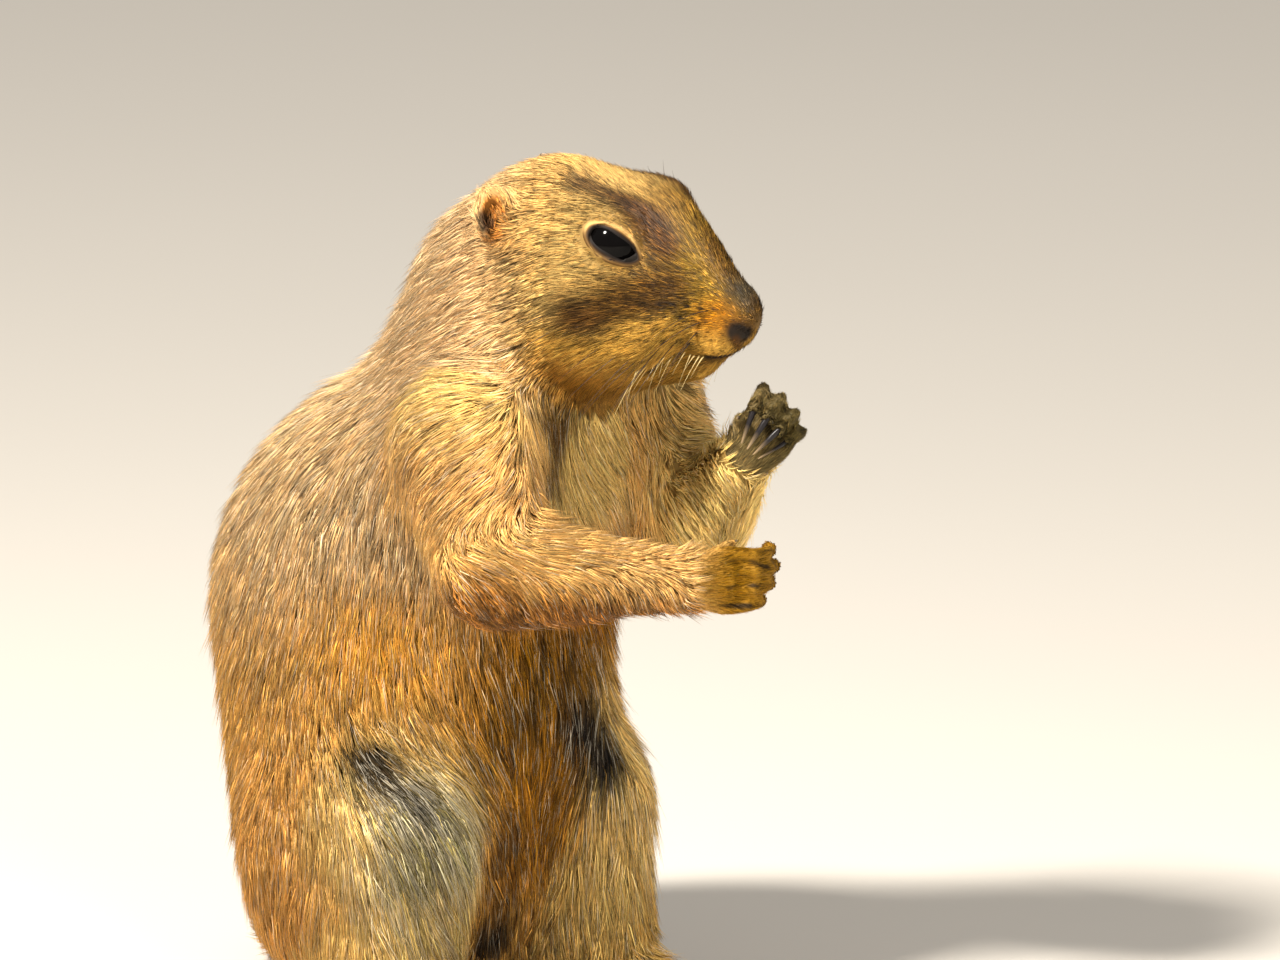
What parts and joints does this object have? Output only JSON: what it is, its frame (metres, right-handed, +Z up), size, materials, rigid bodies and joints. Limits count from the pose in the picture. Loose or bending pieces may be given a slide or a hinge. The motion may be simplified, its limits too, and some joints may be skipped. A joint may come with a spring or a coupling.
{
  "type": "prairie dog",
  "caption": "Life-size still model of a prairie dog sitting upright on its haunches, head turned a little to its left, one hand held across the chest and the other raised to the chin.",
  "frame": {"origin": "middle of the seat, the small flat of the rump that rests on the floor", "axes": "+Z up; the trunk faces -Y, so +X is the animal's left"},
  "size_m": [0.1222, 0.1568, 0.1865],
  "materials": {
    "coat": "short dense hair, golden buff with pale and dark tips",
    "paw": "very short close hair over skin",
    "claw": "smooth dark horn with pale tips",
    "eye": "wet, near black"
  },
  "bodies": {
    "root": {"head": "coat", "neck": "coat", "torso": "coat", "eye_left": "eye", "ear_left": "coat", "upper_arm_left": "coat", "forearm_left": "coat", "hand_left": "paw", "claw_hand_left_1": "claw", "claw_hand_left_2": "claw", "claw_hand_left_3": "claw", "claw_hand_left_4": "claw", "claw_hand_left_5": "claw", "foot_left": "paw", "claw_foot_left_1": "claw", "claw_foot_left_2": "claw", "claw_foot_left_3": "claw", "claw_foot_left_4": "claw", "claw_foot_left_5": "claw", "shin_left": "coat", "thigh_left": "coat", "eye_right": "eye", "ear_right": "coat", "upper_arm_right": "coat", "forearm_right": "coat", "hand_right": "paw", "claw_hand_right_1": "claw", "claw_hand_right_2": "claw", "claw_hand_right_3": "claw", "claw_hand_right_4": "claw", "claw_hand_right_5": "claw", "foot_right": "paw", "claw_foot_right_1": "claw", "claw_foot_right_2": "claw", "claw_foot_right_3": "claw", "claw_foot_right_4": "claw", "claw_foot_right_5": "claw", "shin_right": "coat", "thigh_right": "coat", "tail_root": "coat", "tail_tip": "coat"}
  },
  "joints": []
}
